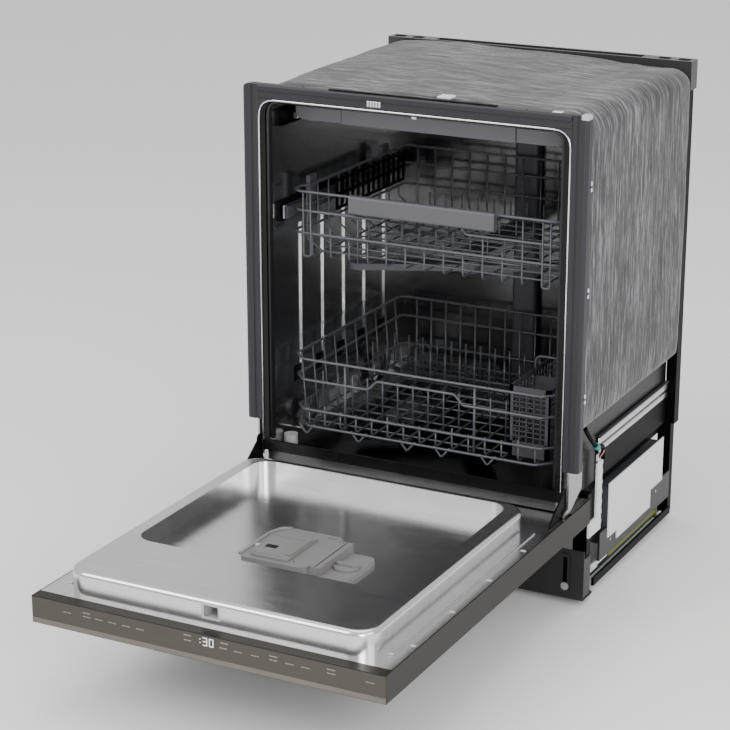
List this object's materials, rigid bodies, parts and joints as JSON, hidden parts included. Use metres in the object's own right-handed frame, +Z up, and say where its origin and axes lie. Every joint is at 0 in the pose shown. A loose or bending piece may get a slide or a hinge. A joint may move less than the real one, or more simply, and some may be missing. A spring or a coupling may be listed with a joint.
{
  "type": "built-in dishwasher",
  "caption": "Built-in dishwasher with its door lowered, sliding racks, spray arms and a felt sound jacket over the tub.",
  "frame": {"origin": "centre of the footprint with the door lowered, on the floor plane under the levelling feet", "axes": "+Z up, +X to the right of a person facing the open door, +Y towards the wall behind the machine"},
  "size_m": [0.618, 1.201, 0.852],
  "materials": {
    "steel": "satin stainless sheet",
    "dark_frame": "black painted steel",
    "trim": "flexible gray trim",
    "gasket": "black door seal",
    "felt": "heather gray sound felt",
    "black_plastic": "moulded black plastic",
    "zinc": "galvanised steel",
    "white_plastic": "white plastic",
    "gray_plastic": "mid gray plastic",
    "cover": "white painted sheet",
    "sleeve": "yellow-green sleeve",
    "door_skin": "dark bronze-black steel",
    "panel": "dark bronze-gray strip",
    "display": "dark smoked window",
    "dispenser": "warm light gray plastic",
    "wire": "gray nylon-coated wire",
    "rack_bar": "gray rack trim",
    "basket": "dark gray basket plastic",
    "cable": "black harness sleeve",
    "pad": "hidden insulation"
  },
  "bodies": {
    "root": {"tub_wrap": "steel", "tub_back": "dark_frame", "tub_floor": "black_plastic", "front_frame": "dark_frame", "side_trims": "trim", "top_trim": "trim", "door_gasket": "gasket", "latch_strike": "steel", "hinge_brackets": "zinc", "sound_blanket": "felt", "rear_brace_bar": "black_plastic", "rear_posts": "black_plastic", "base_frame": "black_plastic", "toe_kick": "black_plastic", "toe_kick_screws": "zinc", "spring_sleeves": "sleeve", "sump": "black_plastic", "sump_cover": "black_plastic", "circulation_pump": "black_plastic", "drain_pump": "black_plastic", "water_inlet_valve": "white_plastic", "control_box": "gray_plastic", "control_box_cover": "cover", "wiring_bracket": "white_plastic", "wiring_harness": "cable", "rear_water_duct": "gray_plastic", "wall_rails": "zinc"},
    "door": {"door_outer_panel": "door_skin", "door_inner_liner": "steel", "control_panel": "panel", "control_display": "display", "door_insulation": "pad", "hinge_arms": "zinc", "dispenser_body": "dispenser", "door_latch": "black_plastic", "pocket_handle": "black_plastic"},
    "detergent_lid": {"detergent_lid": "dispenser"},
    "dispenser_button": {"dispenser_button": "dispenser"},
    "rinse_aid_cap": {"rinse_aid_cap": "dispenser"},
    "lower_rack": {"lower_rack": "wire"},
    "lower_front_wheels": {"lower_front_wheels": "black_plastic"},
    "lower_rear_wheels": {"lower_rear_wheels": "black_plastic"},
    "lower_tine_row": {"lower_tine_row": "wire"},
    "cutlery_basket": {"cutlery_basket": "basket"},
    "upper_carriage": {"upper_inner_rails": "black_plastic"},
    "upper_mid_rails": {"upper_mid_rails": "zinc"},
    "upper_basket": {"upper_rack": "wire", "upper_rack_handle": "rack_bar", "upper_spray_feed": "gray_plastic"},
    "cup_shelf": {"cup_shelf": "basket"},
    "upper_spray_arm": {"upper_spray_arm": "gray_plastic"},
    "third_rack": {"third_rack": "wire", "third_rack_bar": "rack_bar"},
    "lower_spray_arm": {"lower_spray_arm": "gray_plastic"},
    "filter": {"filter": "gray_plastic"},
    "float": {"float": "white_plastic"},
    "front_left_foot": {"front_left_foot": "black_plastic"},
    "front_right_foot": {"front_right_foot": "black_plastic"},
    "rear_foot": {"rear_foot": "black_plastic"},
    "spring_links": {"spring_links": "white_plastic"}
  },
  "joints": [
    {"name": "door_hinge", "type": "hinge", "parent": "root", "child": "door", "pos_m": [0, 0.059, 0.1855], "axis": [1, 0, 0], "range_deg": [-90, 0]},
    {"name": "detergent_lid_slide", "type": "slide", "parent": "door", "child": "detergent_lid", "axis": [1, 0, 0], "range_m": [0, 0.055]},
    {"name": "dispenser_button_press", "type": "slide", "parent": "door", "child": "dispenser_button", "axis": [0, 0, -1], "range_m": [0, 0.002], "stiffness_N_per_m": 300, "springref_m": -0.001},
    {"name": "rinse_aid_cap_turn", "type": "hinge", "parent": "door", "child": "rinse_aid_cap", "pos_m": [0.092, -0.3295, 0.2], "axis": [0, 0, 1], "range_deg": [0, 90]},
    {"name": "lower_rack_slide", "type": "slide", "parent": "root", "child": "lower_rack", "axis": [0, -1, 0], "range_m": [0, 0.5]},
    {"name": "lower_front_wheel_roll", "type": "hinge", "parent": "lower_rack", "child": "lower_front_wheels", "pos_m": [0, 0.1815, 0.247], "axis": [1, 0, 0], "range_deg": [0, 1600]},
    {"name": "lower_rear_wheel_roll", "type": "hinge", "parent": "lower_rack", "child": "lower_rear_wheels", "pos_m": [0, 0.4615, 0.247], "axis": [1, 0, 0], "range_deg": [0, 1600]},
    {"name": "lower_tine_fold", "type": "hinge", "parent": "lower_rack", "child": "lower_tine_row", "pos_m": [0, 0.4515, 0.2512], "axis": [1, 0, 0], "range_deg": [-85, 0]},
    {"name": "cutlery_basket_lift", "type": "slide", "parent": "lower_rack", "child": "cutlery_basket", "axis": [0, 0, 1], "range_m": [0, 0.09]},
    {"name": "upper_rack_slide", "type": "slide", "parent": "root", "child": "upper_carriage", "axis": [0, -1, 0], "range_m": [0, 0.42]},
    {"name": "upper_mid_rail_slide", "type": "slide", "parent": "root", "child": "upper_mid_rails", "axis": [0, -1, 0], "range_m": [0, 0.21]},
    {"name": "upper_rack_height", "type": "slide", "parent": "upper_carriage", "child": "upper_basket", "axis": [0, 0, 1], "range_m": [0, 0.05]},
    {"name": "cup_shelf_fold", "type": "hinge", "parent": "upper_basket", "child": "cup_shelf", "pos_m": [-0.234, 0.3815, 0.6], "axis": [0, 1, 0], "range_deg": [0, 85]},
    {"name": "upper_spray_spin", "type": "hinge", "parent": "upper_basket", "child": "upper_spray_arm", "pos_m": [0, 0.3115, 0.512], "axis": [0, 0, 1], "continuous": true},
    {"name": "third_rack_slide", "type": "slide", "parent": "root", "child": "third_rack", "axis": [0, -1, 0], "range_m": [0, 0.4]},
    {"name": "lower_spray_spin", "type": "hinge", "parent": "root", "child": "lower_spray_arm", "pos_m": [0, 0.3115, 0.212], "axis": [0, 0, 1], "continuous": true},
    {"name": "filter_turn", "type": "hinge", "parent": "root", "child": "filter", "pos_m": [0, 0.3665, 0.19], "axis": [0, 0, 1], "range_deg": [0, 90]},
    {"name": "float_lift", "type": "slide", "parent": "root", "child": "float", "axis": [0, 0, 1], "range_m": [0, 0.006]},
    {"name": "front_left_foot_screw", "type": "slide", "parent": "root", "child": "front_left_foot", "axis": [0, 0, -1], "range_m": [0, 0.03]},
    {"name": "front_right_foot_screw", "type": "slide", "parent": "root", "child": "front_right_foot", "axis": [0, 0, -1], "range_m": [0, 0.03]},
    {"name": "rear_foot_screw", "type": "slide", "parent": "root", "child": "rear_foot", "axis": [0, 0, -1], "range_m": [0, 0.03]},
    {"name": "spring_link_slide", "type": "slide", "parent": "root", "child": "spring_links", "axis": [0, 1, 0], "range_m": [0, 0.0401]}
  ],
  "couplings": [
    {"joint": "lower_front_wheel_roll", "follows": "lower_rack_slide", "rad_per_m": 55.556},
    {"joint": "lower_rear_wheel_roll", "follows": "lower_rack_slide", "rad_per_m": 55.556},
    {"joint": "upper_mid_rail_slide", "follows": "upper_rack_slide", "ratio": 0.5},
    {"joint": "spring_link_slide", "follows": "door_hinge", "m_per_rad": -0.025465}
  ]
}
